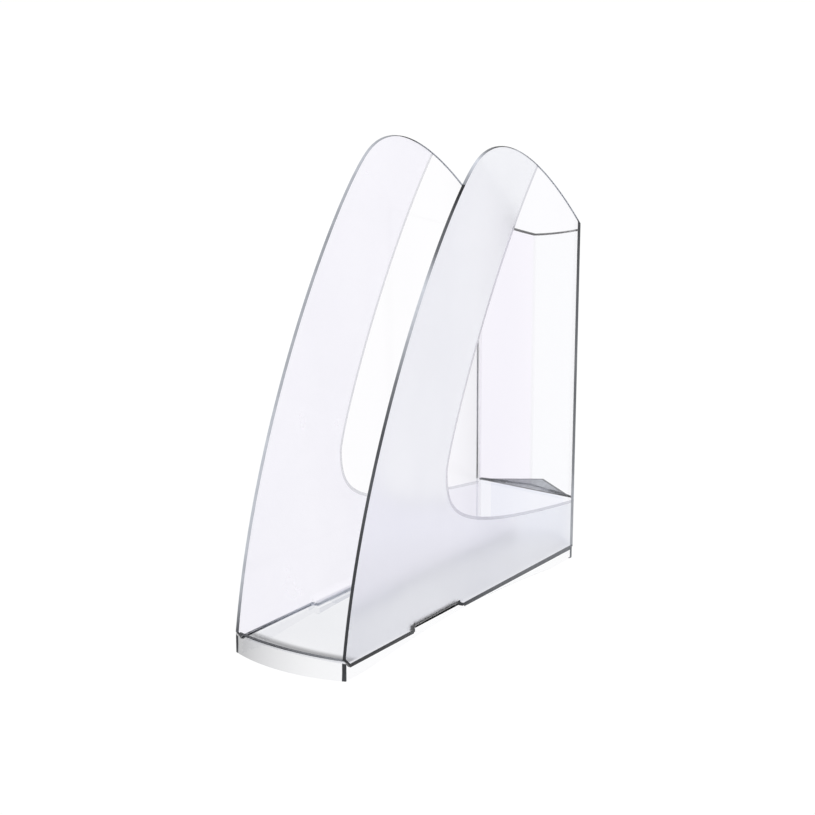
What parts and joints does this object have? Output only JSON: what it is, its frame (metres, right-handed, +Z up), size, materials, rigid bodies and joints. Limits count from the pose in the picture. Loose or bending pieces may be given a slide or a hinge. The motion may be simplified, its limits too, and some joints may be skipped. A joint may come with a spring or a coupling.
{
  "type": "magazine file holder",
  "caption": "Open-front desktop magazine file in clear and frosted plastic: tall curved side walls on a shallow bowed base tray, with a folded spine panel and rear ledge.",
  "frame": {"origin": "on the ground under the middle of the footprint, halfway between the two side walls", "axes": "+Z up, +Y from the open front to the spine, +X from the left side wall to the right one"},
  "size_m": [0.0764, 0.275, 0.273],
  "materials": {
    "frosted_base": "frosted translucent styrene",
    "frosted_wall": "translucent styrene, frosted front band and foot, clear window toward the upper rear",
    "frosted_riser": "frosted translucent styrene with a clear glossy ledge",
    "clear_spine": "clear glossy styrene"
  },
  "bodies": {
    "root": {"base_tray": "frosted_base", "side_wall_left": "frosted_wall", "side_wall_right": "frosted_wall", "rear_riser": "frosted_riser", "spine_panel": "clear_spine"}
  },
  "joints": []
}
